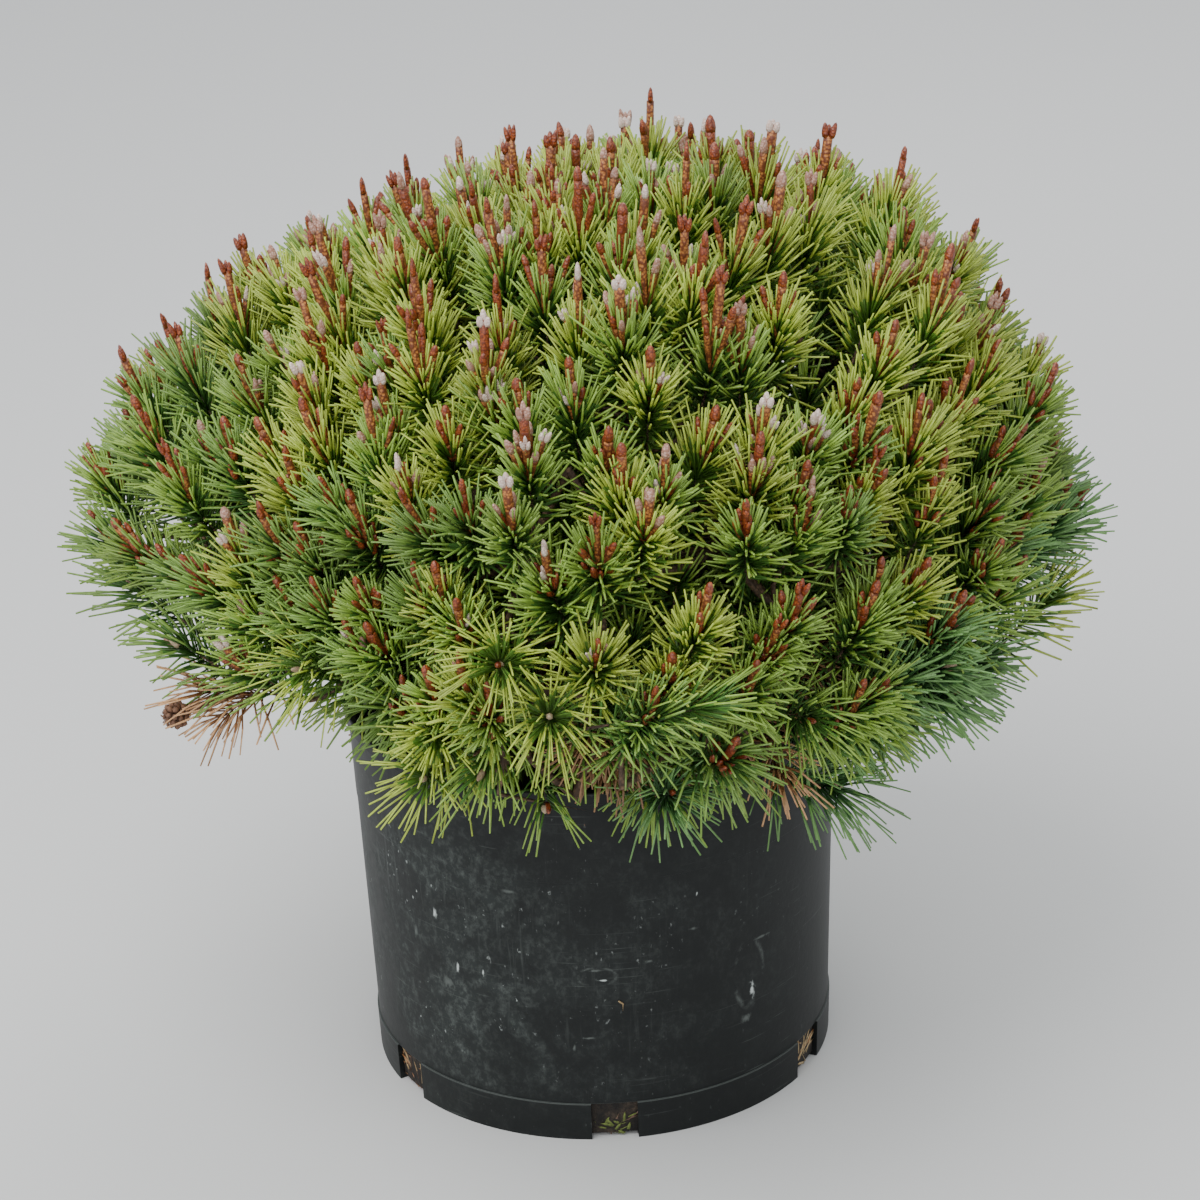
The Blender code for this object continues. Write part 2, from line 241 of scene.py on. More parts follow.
DROOP_SPREAD = (0.1, 1)
SHARE_CROWDING = 0.62
NEEDLES_PER_PIECE = 14000
NEEDLE_ROUGHNESS = 0.42

# Needle colours by tint, at the foot and at the end. The darker foot colour is partly painted shade,
# deep in the tuft where the needles leave the shoot. The lighter, yellower end is partly the needles'
# own tip colour.
NEEDLE_COLOURS = {
    "bright": ((0.092, 0.200, 0.026), (0.300, 0.378, 0.046)),
    "mid": ((0.066, 0.168, 0.026), (0.190, 0.304, 0.041)),
    "deep": ((0.058, 0.150, 0.027), (0.140, 0.244, 0.039)),
    "blue": ((0.048, 0.135, 0.038), (0.118, 0.246, 0.066)),
    "dead": ((0.27, 0.12, 0.045), (0.50, 0.28, 0.13)),
    "brown": ((0.18, 0.090, 0.042), (0.28, 0.15, 0.070)),
}

# Candles: the shoots' new growth, one in the middle and some leaning out round it. Their
# material slots are orange scales, rust, dull pink, white resin and a pale bud
SCALES, RUST, PINK, RESIN, PALE = range(5)
CANDLE_SIDES = 6
CANDLE_STATIONS = (0, 0.2, 0.4, 0.6, 0.8, 0.94, 1)
CANDLE_GIRTH = (0.72, 0.92, 0.86, 1.0, 0.95, 0.95)
CANDLE_LENGTHS = (29 * MM, 54 * MM)
CANDLE_RADIUS = 2.95 * MM
CANDLE_GIRTHS = (0.8, 1.15)
LATERAL_LENGTHS = (0.42, 0.85)
TALL_SHARE = 0.10
TALL_BY = 1.2
CROWDED_FROM = 36 * MM
BUDS_ONLY_BELOW = -0.02
LATERAL_LEAN_DEG = (18, 44)
CANDLE_LIFT = 0.75
BUD_STATIONS = (0, 0.25, 0.6, 0.88, 1)
BUD_GIRTH = (0.88, 1.0, 0.84, 0.46)
BUD_LENGTH = 11 * MM
BUD_RADIUS = 2.9 * MM
BUD_WANDER = 1.5 * MM
CROWDED_GIRTH = 0.72
CANDLE_DEPTHS = (2 * MM, 7 * MM)
BUD_FROM = 0.93
CLUSTER_BELOW = 0.6
CLUSTER_SHARE = 0.34
CLUSTER_BUDS = (5, 9)
CLUSTER_ROOM = (3 * MM, 10 * MM)
CLUSTER_DEPTH = 14 * MM

# Single shoots low in the crown: tint, needles, size, tip as (bearing, distance from the axis
# and level in millimetres) and heading as (bearing, elevation). The other outer shoots leave
# all but the brown ones some room
STRAYS = (
    ("bright", 70, 1.20, (220, 250, 375), (228, 22)),
    ("bright", 72, 1.15, (245, 262, 328), (248, 18)),
    ("mid", 46, 1.15, (254, 262, 338), (246, -14)),
    ("bright", 84, 1.20, (259, 300, 434), (262, 28)),
    ("bright", 84, 1.20, (265, 310, 402), (268, 26)),
    ("mid", 26, 1.00, (262, 232, 300), (276, -14)),
    ("blue", 74, 1.10, (281, 258, 316), (284, 24)),
    ("mid", 70, 1.10, (300, 285, 364), (300, 16)),
    ("mid", 40, 1.10, (291, 250, 326), (292, -30)),
    ("blue", 100, 1.20, (314, 236, 272), (326, -2)),
    ("dead", 40, 0.90, (301, 243, 303), (290, -20)),
    ("dead", 46, 1.00, (194, 276, 318), (186, 10)),
    ("dead", 34, 0.90, (198, 270, 304), (208, -25)),
    ("brown", 60, 0.90, (271, 215, 350), (265, 20)),
    ("brown", 60, 0.90, (276, 208, 336), (296, 10)),
    ("brown", 50, 0.85, (268, 208, 328), (240, 10)),
    ("brown", 40, 0.80, (273, 210, 316), (280, 0)),
)
STRAY_ROOM_DEG = 6.5
STRAY_GIRTH = 0.86
STRAY_RISE = -0.05

# One long shoot that shows from its side, with a bare end: needles, tip, heading and length
BARE_SHOOT = (80, (284, 320, 406), (352, 12), 85 * MM)
BARE_END = 12 * MM
BARE_RISE = 0.1

# A dead twig by the rim, from end to end
DEAD_TWIG = ((254, 232, 306), (269, 228, 293))

# Old open cone at the end of a dead twig
CONE_PLACE = (194, 288, 305)
CONE_LENGTH = 20 * MM
CONE_RADIUS = 9.5 * MM
CONE_SCALES = 46
CONE_STALK = 24 * MM

# Litter on the potting mix, and what has lodged in each notch. Its material slots are bark
# chips, dead needles, straw and moss
CHIP, DEAD, STRAW, MOSS = range(4)
NOTCH_LITTER = (
    (MOSS, MOSS, MOSS, MOSS, CHIP),
    (STRAW, STRAW, DEAD),
    (DEAD, STRAW, CHIP),
    (DEAD, MOSS, STRAW),
    (DEAD, CHIP, STRAW),
    (DEAD, DEAD, CHIP, STRAW),
)
CHIP_COUNT = 420
FALLEN_NEEDLES = 380
NOTCH_BITS = 42
EDGE_ROOM = 12 * MM

# Floor, sky and lamps: each lamp has its name, place, size and power
FLOOR_COLOUR = (0.55, 0.55, 0.54, 1)
SKY_COLOUR = (0.93, 0.96, 1.0, 1)
SKY_STRENGTH = 1.2
LAMPS = (
    ("key", (-1.1, -0.9, 2.7), 2.6, 75),
    ("rim", (0.9, 1.9, 2.4), 2.0, 30),
    ("fill", (-0.5, -2.6, 1.3), 2.4, 30),
)
LAMP_AIM = UP * 0.4


# Joined meshes


def unit(vectors):
    return vectors / np.linalg.norm(vectors, axis=-1, keepdims=True)


class Bundle:
    """Many closed tapering rods that become one joined mesh."""

    def __init__(self):
        self.verts = []
        self.corners = []
        self.sizes = []
        self.slots = []
        self.count = 0

    def add(self, paths, radii, sides, slots=0, spin=None):
        """Adds rods. A path has a point for each radius, and one more if the rod is pointed.

        radii is (rods, rings), or (rods, rings, sides) for a rod that isn't round. slots is
        one material slot, or those of the foot, of each band and of the tip for every rod.
        """
        paths = np.asarray(paths, float)
        radii = np.asarray(radii, float)
        if radii.ndim == 2:
            radii = radii[:, :, None]
        rods, rings = radii.shape[:2]
        pointed = paths.shape[1] > rings
        ahead = np.diff(paths, axis=1)
        if not pointed:
            ahead = np.concatenate([ahead, ahead[:, -1:]], axis=1)
        ahead = unit(ahead)
        ahead[:, 1:] += ahead[:, :-1]
        ahead = unit(ahead)
        helper = np.where(np.abs(ahead[:, :1, 2:]) > 0.8, (1.0, 0, 0), (0, 0, 1.0))
        across = unit(np.cross(ahead, helper))
        over = np.cross(ahead, across)
        spin = np.zeros(rods) if spin is None else spin
        angle = spin[:, None] + np.arange(sides) * math.tau / sides
        cos, sin = np.cos(angle)[:, None, :, None], np.sin(angle)[:, None, :, None]
        offset = cos * across[:, :, None, :] + sin * over[:, :, None, :]
        ring_verts = paths[:, :rings, None, :] + radii[..., None] * offset
        verts = np.concatenate([ring_verts.reshape(rods, rings * sides, 3), paths[:, rings:]], axis=1)

        corners = list(range(sides))[::-1]
        for ring in range(rings - 1):
            for k in range(sides):
                a, b = ring * sides + k, ring * sides + (k + 1) % sides
                corners += [a, b, b + sides, a + sides]
        last = (rings - 1) * sides
        if pointed:
            for k in range(sides):
                corners += [last + k, last + (k + 1) % sides, rings * sides]
        else:
            corners += range(last, last + sides)
        sizes = [sides] + [4] * sides * (rings - 1) + ([3] * sides if pointed else [sides])
        per_rod = rings * sides + pointed
        starts = self.count + np.arange(rods) * per_rod
        slots = np.broadcast_to(slots, (rods, rings + 1))
        self.verts.append(verts.reshape(-1, 3))
        self.corners.append((np.array(corners)[None, :] + starts[:, None]).ravel())
        self.sizes.append(np.tile(sizes, rods))
        faces_in_slot = [1] + [sides] * (rings - 1) + [sides if pointed else 1]
        self.slots.append(np.repeat(slots, faces_in_slot, axis=1).ravel())
        self.count += rods * per_rod

    def make(self, name, *finishes):
        sizes = np.concatenate(self.sizes)
        corners = np.concatenate(self.corners)
        mesh = bpy.data.meshes.new(name)
        mesh.vertices.add(self.count)
        mesh.vertices.foreach_set("co", np.concatenate(self.verts).ravel())
        mesh.loops.add(len(corners))
        mesh.loops.foreach_set("vertex_index", corners)
        mesh.polygons.add(len(sizes))
        mesh.polygons.foreach_set("loop_start", np.cumsum(sizes) - sizes)
        mesh.polygons.foreach_set("material_index", np.concatenate(self.slots))
        mesh.polygons.foreach_set("use_smooth", np.ones(len(sizes), bool))
        mesh.update(calc_edges=True)
        return new_piece(name, mesh, *finishes)


def in_scene(name, data):
    thing = bpy.data.objects.new(name, data)
    bpy.context.scene.collection.objects.link(thing)
    return thing


def new_piece(name, mesh, *finishes):
    for finish in finishes:
        mesh.materials.append(finish)
    return in_scene(name, mesh)


def from_bmesh(name, bm, *finishes):
    bmesh.ops.recalc_face_normals(bm, faces=bm.faces)
    mesh = bpy.data.meshes.new(name)
    bm.to_mesh(mesh)
    bm.free()
    return new_piece(name, mesh, *finishes)


def lathe(profile, segments):
    """A closed solid turned about Z from (radius, height) points, listed from axis to axis."""
    bm = bmesh.new()
    rings = []
    for radius, height in profile:
        turns = range(segments) if radius else [0]
        places = [direction_of(0, 360 * turn / segments) * radius + UP * height for turn in turns]
        rings.append([bm.verts.new(place) for place in places])
    for low, high in zip(rings, rings[1:]):
        for k in range(segments):
            ends = [(ring[k % len(ring)], ring[(k + 1) % len(ring)]) for ring in (low, high)]
            bm.faces.new(list(dict.fromkeys(ends[0] + ends[1][::-1])))
    return bm


# Materials


def rgba(colour):
    """A grey or a colour, as a colour socket takes it."""
    if isinstance(colour, (int, float)):
        colour = (colour,) * 3
    return (*colour, 1)


class Look:
    """A Principled material with short ways to add the nodes that drive it."""

    def __init__(self, name, roughness, **values):
        self.material = bpy.data.materials.new(name)
        self.material.use_nodes = True
        self.nodes = self.material.node_tree.nodes
        self.links = self.material.node_tree.links
        self.shader = self.nodes["Principled BSDF"]
        self.fill(self.shader, Roughness=roughness, **values)
        self.place = self.nodes.new("ShaderNodeTexCoord").outputs["Object"]

    def feed(self, socket, value):
        """Sets an input to a value, or links it to another node's output."""
        if isinstance(value, bpy.types.NodeSocket):
            self.links.new(value, socket)
        else:
            socket.default_value = value

    def fill(self, node, **values):
        for name, value in values.items():
            self.feed(node.inputs[name.replace("_", " ")], value)
        return node

    def node(self, kind, **values):
        return self.fill(self.nodes.new("ShaderNode" + kind), **values)

    def stretched(self, scale, turn_deg=(0, 0, 0)):
        turn = [math.radians(angle) for angle in turn_deg]
        return self.node("Mapping", Scale=scale, Rotation=turn, Vector=self.place).outputs["Vector"]

    def axis(self, letter, low, high):
        """How far along an axis a point lies, from 0 at low to 1 at high, in metres."""
        along = self.node("SeparateXYZ", Vector=self.place).outputs[letter]
        return self.node("MapRange", From_Min=low, From_Max=high, Value=along).outputs["Result"]

    def noise(self, scale, detail=3, roughness=0.5, place=None, distortion=0):
        node = self.node(
            "TexNoise", Scale=scale, Detail=detail, Roughness=roughness, Distortion=distortion,
            Vector=place or self.place,
        )
        return node.outputs["Fac"]

    def cells(self, scale):
        return self.node("TexVoronoi", Scale=scale, Vector=self.place).outputs["Distance"]

    def spot(self, place, size):
        """1 at a place, falling to 0 where an ellipsoid of these half-sizes ends."""
        value = self.place
        for operation, amount in (("SUBTRACT", place), ("DIVIDE", size), ("LENGTH", None)):
            node = self.nodes.new("ShaderNodeVectorMath")
            node.operation = operation
            self.links.new(value, node.inputs[0])
            if amount:
                node.inputs[1].default_value = amount
            value = node.outputs["Value" if amount is None else "Vector"]
        return self.node("MapRange", To_Min=1, To_Max=0, Value=value).outputs["Result"]

    def ramp(self, value, *stops):
        """A ramp of (position, grey or colour) stops."""
        node = self.node("ValToRGB", Fac=value)
        while len(node.color_ramp.elements) < len(stops):
            node.color_ramp.elements.new(0.5)
        for element, (position, colour) in zip(node.color_ramp.elements, stops):
            element.position = position
            element.color = rgba(colour)
        return node.outputs["Color"]

    def mix(self, factor, first, second, kind="MIX"):
        node = self.nodes.new("ShaderNodeMix")
        node.data_type = "RGBA"
        node.blend_type = kind
        self.feed(node.inputs[0], factor)
        for socket, value in ((6, first), (7, second)):
            if not isinstance(value, bpy.types.NodeSocket):
                value = rgba(value)
            self.feed(node.inputs[socket], value)
        return node.outputs[2]

    def colour(self, value):
        self.fill(self.shader, Base_Color=value)

    def bump(self, height, distance, strength=1):
        node = self.node("Bump", Distance=distance, Strength=strength, Height=height)
        self.fill(self.shader, Normal=node.outputs["Normal"])


def shade(colour, amount):
    return tuple(channel * amount for channel in colour)


def speckled(name, dark, light, roughness, fine=260, coarse=22):
    """A colour that wanders between two near tints, in patches and in fine specks."""
    look = Look(name, roughness)
    both = look.mix(0.45, look.noise(coarse, 2), look.noise(fine, 2))
    look.colour(look.ramp(both, (0.38, dark), (0.62, light)))
    return look.material


def needle_finish(name, colour):
    """A needle colour: a little darker or lighter from one needle to the next."""
    return speckled(name, shade(colour, 0.72), shade(colour, 1.3), NEEDLE_ROUGHNESS, 190, 14)


def scaly(name, gap, scale_colour, roughness, grain):
    """Small overlapping bud scales: paler cells on a darker ground."""
    look = Look(name, roughness)
    cells = look.cells(grain)
    patches = look.noise(grain / 4, 2)
    scales = look.ramp(patches, (0.4, shade(scale_colour, 0.7)), (0.6, scale_colour))
    look.colour(look.mix(look.ramp(cells, (0.28, 0.0), (0.62, 1.0)), scales, gap))
    look.bump(cells, 0.6 * MM, 0.7)
    return look.material


def bark_finish():
    look = Look("bark", 0.86)
    plates = look.noise(95, 5, 0.62, look.stretched((1, 1, 0.55)))
    tone = look.ramp(plates, (0.36, (0.030, 0.020, 0.014)), (0.52, (0.105, 0.070, 0.048)),
                     (0.68, (0.20, 0.15, 0.115)))
    flush = look.ramp(look.noise(28, 2), (0.42, 0.0), (0.62, 1.0))
    look.colour(look.mix(flush, tone, look.mix(0.55, tone, (0.16, 0.075, 0.035))))
    look.bump(plates, 2.5 * MM, 0.8)
    return look.material


def soil_finish():
    look = Look("potting_mix", 0.95)
    crumbs = look.noise(120, 5, 0.7)
    look.colour(look.ramp(crumbs, (0.38, (0.008, 0.006, 0.005)), (0.55, (0.026, 0.018, 0.012)),
                          (0.70, (0.075, 0.052, 0.035))))
    look.bump(crumbs, 3 * MM, 0.9)
    return look.material


def pot_finish():
    """Dull black plastic: a mottled chalky dust, placed scuffs, flecks and faint scratches. The dust,
    flecks and strokes are thickest on the left side as painted light, and a painted highlight runs
    along the foot band's ledge.
    """
    look = Look("black_plastic", 0.5, Specular_IOR_Level=0.20)
    plain = (0.0062, 0.0073, 0.0073)
    dust_and_lit_side_colour = (0.0200, 0.0240, 0.0228)
    chalk = (0.075, 0.085, 0.079)
    bright = (0.46, 0.50, 0.48)

    def both(first, second):
        return look.mix(1.0, first, second, "MULTIPLY")

    # Painted light: the dust lies thickest on the left of the pot, where the light falls, and fades
    # almost to nothing on the right. It is also thinner on the foot band and near the lip.
    side = look.ramp(
        look.axis("X", -0.17, 0.17),
        (0.0, 0.55), (0.12, 1.0), (0.30, 0.85), (0.44, 0.34), (0.68, 0.22), (0.86, 0.12), (1.0, 0.03),
    )
    level = look.ramp(
        look.axis("Z", 0, POT_HEIGHT),
        (0.0, 0.25), (0.10, 0.25), (0.13, 0.7), (0.30, 1.0), (0.72, 0.9), (0.85, 0.4), (1.0, 0.2),
    )
    # This spread, with the painted light of the left side, also places the flecks and the strokes
    # below.
    where = both(side, level)
    cloud = look.ramp(look.noise(24, 5, 0.6, distortion=0.8), (0.40, 0.15), (0.64, 1.0))
    dust_and_painted_light = both(cloud, where)
    base = look.mix(dust_and_painted_light, plain, dust_and_lit_side_colour)

    mottle = look.noise(190, 6, 0.72, look.stretched((1, 1, 0.8)), 0.2)
    mottle = look.ramp(mottle, (0.47, 0.0), (0.70, 1.0))
    base = look.mix(both(mottle, dust_and_painted_light), base, chalk)

    patches = look.ramp(look.noise(19, 2), (0.46, 0.0), (0.58, 1.0))
    fleck = look.noise(300, 4, 0.6, look.stretched((1, 1, 0.6)), 0.3)
    fleck = look.ramp(fleck, (0.65, 0.0), (0.71, 0.8))
    base = look.mix(both(both(fleck, patches), where), base, bright)

    grain = look.noise(230, 4, 0.65, look.stretched((1, 1, 0.6)), 0.6)
    broken = look.ramp(look.noise(52, 4, 0.7), (0.50, 0.0), (0.64, 0.8))
    for bearing, *sizes, paint in POT_MARKS:
        height, half_width, half_height = [size * MM for size in sizes]
        place = place_of(bearing, pot_wall_radius(height), height)
        mark = look.spot(place, (half_width, half_width, half_height))
        ragged = look.ramp(look.mix(0.5, mark, grain), (0.56, 0.0), (0.68, 1.0))
        painted = both(ragged, mark)
        if paint == "arc":
            painted = both(look.ramp(mark, (0.24, 0.0), (0.34, 1.0), (0.44, 0.0)), broken)
        base = look.mix(painted, base, bright if paint == "white" else chalk)

    lines = look.ramp(look.noise(1, 4, 0.6, look.stretched((14, 14, 620), (0, 3, 0)), 0.6),
                      (0.63, 0.0), (0.70, 1.0))
    strokes = look.ramp(look.noise(1, 3, 0.6, look.stretched((300, 300, 16), (0, 38, 0)), 0.4),
                        (0.58, 0.0), (0.72, 1.0))
    scuffed = look.ramp(look.noise(12, 2), (0.46, 0.0), (0.60, 0.6))
    base = look.mix(both(lines, scuffed), base, chalk)
    base = look.mix(look.mix(0.5, 0.0, both(both(strokes, where), patches)), base, chalk)

    # A painted highlight: a pale line in the chalk colour along the foot band's ledge, where it
    # catches the light from above.
    ledge_highlight = look.ramp(look.axis("Z", BAND_HEIGHT - 2 * MM, BAND_HEIGHT + 2 * MM),
                      (0.30, 0.0), (0.48, 0.75), (0.62, 0.0))
    base = look.mix(ledge_highlight, base, chalk)

    look.colour(base)
    look.fill(look.shader, Roughness=look.ramp(dust_and_painted_light, (0.0, 0.46), (1.0, 0.66)))
    look.bump(look.noise(210, 4, 0.6), 0.25 * MM, 0.5)
    return look.material


# Crown rule


def direction_of(elevation_deg, bearing_deg):
    elevation, bearing = math.radians(elevation_deg), math.radians(bearing_deg)
    flat = math.cos(elevation)
    return Vector((flat * math.cos(bearing), flat * math.sin(bearing), math.sin(elevation)))


def place_of(bearing_deg, distance, level):
    return direction_of(0, bearing_deg) * distance + UP * level


def listed_place(bearing_deg, distance, level):
    """A place of the tables above, which are in millimetres."""
    return place_of(bearing_deg, distance * MM, level * MM)


def reach(directions):
    """How far the crown's outline lies from its heart, along one unit direction or many."""
    x, y, z = np.moveaxis(np.asarray(directions, float), -1, 0)
    flat = np.hypot(x, y)
    side = x / np.maximum(flat, 1e-9)
    near = np.maximum(0, -y / np.maximum(flat, 1e-9))
    inset = NEAR_LEFT_INSET * np.maximum(0, -side) + NEAR_RIGHT_INSET * np.maximum(0, side)
    radius = CROWN_RADIUS / (1 + 2 * near * inset)
    rise = CROWN_RISE * (1 + RIGHT_SIDE_RISE * side * flat)
    drop = CROWN_DROP * (1 + RIGHT_SIDE_DROP * side - BOTH_SIDES_LIFT * side**2)
    power = np.where(z > 0, DOME_SQUARENESS, 2)
    depth = np.where(z > 0, rise, drop)
    return ((flat / radius) ** power + (np.abs(z) / depth) ** power) ** (-1 / power)


def crown_spaces():
    """Each mass of foliage as (name, middle direction). A mass owns what is nearest its own."""
    spaces = {"top": UP.copy()}
    for ring, count, elevation, first, _, _, _ in RINGS:
        for number in range(count):
            bearing = first + 360 * number / count
            spaces[f"{ring}_{number + 1}"] = direction_of(elevation, bearing)
    return spaces


def wander(draw, amount):
    return Vector([draw.gauss(0, amount) for _ in range(3)])


def mass_heart(direction):
    """Where a mass's own stem ends and its twigs begin."""
    return HEART + direction * reach(direction) * STEMLET_END


def spiral(direction, others, step_deg, draw, jitter=0.0):
    """Directions on a golden spiral about a mass's middle, as far as its own space goes."""
    turn = direction.to_track_quat("Z", "Y")
    number = 0
    found = []
    while True:
        lean = math.radians(step_deg) * math.sqrt(number + SPREAD_START)
        if lean > math.radians(WIDEST_DEG):
            return found
        around = number * GOLDEN_ANGLE
        number += 1
        flat = math.sin(lean)
        outward = turn @ Vector((flat * math.cos(around), flat * math.sin(around), math.cos(lean)))
        outward += wander(draw, jitter)
        outward.normalize()
        own = outward.dot(direction)
        far_out = outward.z > LOWEST_RISE and reach(outward) > LEAST_REACH * reach(direction)
        if far_out and all(own > outward.dot(other) for other in others):
            found.append((outward, lean))


def outline_share(outward, lean, draw):
    """How much of the outline's reach a shoot's needles have, so the crown is lumpy."""
    dome = MASS_FALL * (lean / math.radians(MASS_FALL_DEG)) ** 2
    uneven = UNEVEN_BY * noise.noise(outward * UNEVEN_GRAIN)
    room = CANDLE_ROOM * max(0, outward.z)
    swell = 0
    for bearing, elevation, width, amount in SWELLINGS:
        aside = outward.angle(direction_of(elevation, bearing)) / math.radians(width)
        swell += amount * min(1, max(0, (1 - aside) * SWELLING_TOP))
    return ENDS_AT + swell - room - dome + uneven + draw.uniform(-EACH_UNEVEN_BY, EACH_UNEVEN_BY)


def left_open():
    """Directions that the outer shoots stay clear of, each with a half-width in radians."""
    spots = [(direction_of(elevation, bearing), width) for bearing, elevation, width in OPENINGS]
    for tint, _, _, place, _ in STRAYS:
        if tint != "brown":
            spots.append(((listed_place(*place) - HEART).normalized(), STRAY_ROOM_DEG))
    return [(direction, math.radians(width)) for direction, width in spots]


def tint_of(outward, outer, draw):
    """A shoot's tint: brighter to the top as painted light from above, bluer low on the +X side,
    deeper on the -X side. Inner shoots take darker tints as painted shade inside the crown, and brown
    dead needles low down.
    """
    if not outer:
        return draw.choice(("mid", "deep", "brown" if outward.z < 0.25 else "mid"))
    if outward.x > 0.3 and outward.z < 0.2 and draw.random() < 0.6 - outward.z:
        return "blue"
    if outward.x < -0.35 and outward.z < 0.6 and draw.random() < 0.6:
        return "deep"
    height = outward.z + draw.gauss(0, 0.2)
    if height > 0.5:
        return draw.choice(("bright", "bright", "mid"))
    return draw.choice(("bright", "mid", "mid", "mid", "deep"))


# Shoots with their needles


def around_axis(heading, angles):
    """Unit vectors square to a heading, at the given angles round it."""
    axis = np.array(heading)
    across = unit(np.cross(axis, (1.0, 0, 0) if abs(heading.z) > 0.8 else (0, 0, 1.0)))
    over = np.cross(axis, across)
    return np.cos(angles)[:, None] * across + np.sin(angles)[:, None] * over


class Shoot:
    """One shoot: where its needles begin, where they end, and which way it points."""

    def __init__(self, tip, heading, rise, tint, draw, length=SHOOT_LENGTH):
        self.tip = tip
        self.heading = heading
        self.rise = rise
        self.tint = tint
        self.draw = draw
        self.length = length
        self.candles = 0

    @property
    def root(self):
        return self.tip - self.heading * self.length

    def grow_needles(self, count, rng, size=1.0, girth=1.0):
        """The needles' paths from the shoot's line, and their radii."""
        low = min(1, max(0, DROOP_START - DROOP_PER_RISE * self.rise))
        share = ((np.arange(count) + rng.uniform(0, 1, count)) / count) ** SHARE_CROWDING
        angles = np.arange(count) * GOLDEN_ANGLE + rng.normal(0, TURN_SPREAD, count)
        tip_lean_deg = TIP_LEAN_DEG + LOW_TIP_LEAN_DEG * low
        lean_deg = FOOT_LEAN_DEG + (tip_lean_deg - FOOT_LEAN_DEG) * share
        lean = np.radians(lean_deg + rng.normal(0, LEAN_SPREAD_DEG, count))
        bend = np.radians(NEEDLE_BEND_DEG) * rng.uniform(*BEND_SPREAD, count)
        reach_out = SHORTEST_NEEDLE + (LONGEST_NEEDLE - SHORTEST_NEEDLE) * low
        half = (reach_out * size * rng.uniform(*LENGTH_SPREAD, count) / 2)[:, None]
        axis = np.array(self.heading)
        side = around_axis(self.heading, angles)
        leaves = np.cos(lean)[:, None] * axis + np.sin(lean)[:, None] * side
        ends = np.cos(lean - bend)[:, None] * axis + np.sin(lean - bend)[:, None] * side
        ends[:, 2] -= DROOP * low * rng.uniform(*DROOP_SPREAD, count)
        ends = unit(ends)
        start = np.array(self.tip) - axis * self.length * (1 - share[:, None]) + side * MM
        middle = start + leaves * half
        self.paths = np.stack([start, middle, middle + ends * half], axis=1)
        thickness = NEEDLE_RADIUS * girth * rng.uniform(*GIRTH_SPREAD, (count, 1))
        self.radii = thickness * np.array([NEEDLE_GIRTH])

    def settle(self, outward, share):
        """Moves the shoot along its own direction until its needles end at the outline."""
        for _ in range(2):
            offsets = self.paths[:, 2] - np.array(HEART)
            distance = np.linalg.norm(offsets, axis=1)
            over = distance - reach(offsets / distance[:, None]) * share
            back = outward * float(np.percentile(over, HIGHEST_SHARE))
            self.tip = self.tip - back
            self.paths = self.paths - np.array(back)


def grow_shoots(spaces, rng):
    """All shoots of the crown, and the forks of each mass's twigs."""
    shoots = []
    forks = {}
    clear_spots = left_open()
    for name, direction in spaces.items():
        draw = random.Random(name)
        others = [other for other in spaces.values() if other is not direction]
        forks[name] = [
            HEART + outward * reach(outward) * FORK_REACH
            for outward, _ in spiral(direction, others, TWIG_STEP_DEG, draw)
        ]
        for layer, step, needles, needle_size, girth, depth in LAYERS:
            outer = layer == "outer"
            for outward, lean in spiral(direction, others, step, draw, STEP_JITTER):
                lift = LEVEL_LIFT + STEEPER_LIFT * max(0, outward.z) + LOWER_FALL * min(0, outward.z)
                heading = (outward + UP * lift + wander(draw, HEADING_JITTER)).normalized()
                tip = HEART + outward * reach(outward)
                if outer and any(outward.angle(spot) < width for spot, width in clear_spots):
                    continue
                size = needle_size * draw.uniform(*SHOOT_SIZES)
                count = round(needles * draw.uniform(*COUNT_SPREAD)) if outer else needles
                if outward.z < LOW_RISE:
                    count = round(count * LOW_COUNT_SHARE)
                    size *= LOW_SIZE
                tint = tint_of(outward, outer, draw)
                shoot = Shoot(tip, heading, outward.z, tint, draw, SHOOT_LENGTH * size)
                shoot.grow_needles(count, rng, size, girth)
                shoot.settle(outward, outline_share(outward, lean, draw) * depth)
                if outer:
                    shoot.candles = candle_count(outward.z, draw)
                shoots.append(shoot)
    for tint, count, size, place, (bearing, elevation) in STRAYS:
        draw = random.Random(count + bearing)
        heading = direction_of(elevation, bearing)
        shoot = Shoot(listed_place(*place), heading, STRAY_RISE, tint, draw, SHOOT_LENGTH * size)
        shoot.grow_needles(count, rng, size, STRAY_GIRTH)
        shoot.candles = int(tint not in ("dead", "brown"))
        shoots.append(shoot)
    count, place, (bearing, elevation), length = BARE_SHOOT
    heading = direction_of(elevation, bearing)
    bare = Shoot(listed_place(*place), heading, BARE_RISE, "mid", draw, length)
    bare.grow_needles(count, rng)
    shoots.append(bare)
    return shoots, forks


def candle_count(rise, draw):
    """How many candles or buds a shoot carries: most on top, and none on some low ones."""
    if rise > 0.45:
        return draw.choice((4, 4, 5, 5, 6, 7))
    if rise > 0.15:
        return draw.choice((2, 3, 4, 4, 5))
    return draw.choice((0, 1, 1, 2, 3))


def make_needles(shoots, finishes, rng):
    """The needles, joined by tint, each tint in pieces of a size that exports well."""
    pieces = []
    for tint, (foot, end) in finishes.items():
        own = [shoot for shoot in shoots if shoot.tint == tint]
        total = sum(len(shoot.paths) for shoot in own)
        share = math.ceil(total / NEEDLES_PER_PIECE)
        for number in range(share):
            bundle = Bundle()
            for shoot in own[number::share]:
                spin = rng.uniform(0, math.tau, len(shoot.paths))
                bundle.add(shoot.paths, shoot.radii, NEEDLE_SIDES, NEEDLE_SLOTS, spin)
            pieces.append(bundle.make(f"needles_{tint}_{number + 1}", foot, end))
    return pieces


# Candles, cone and twigs


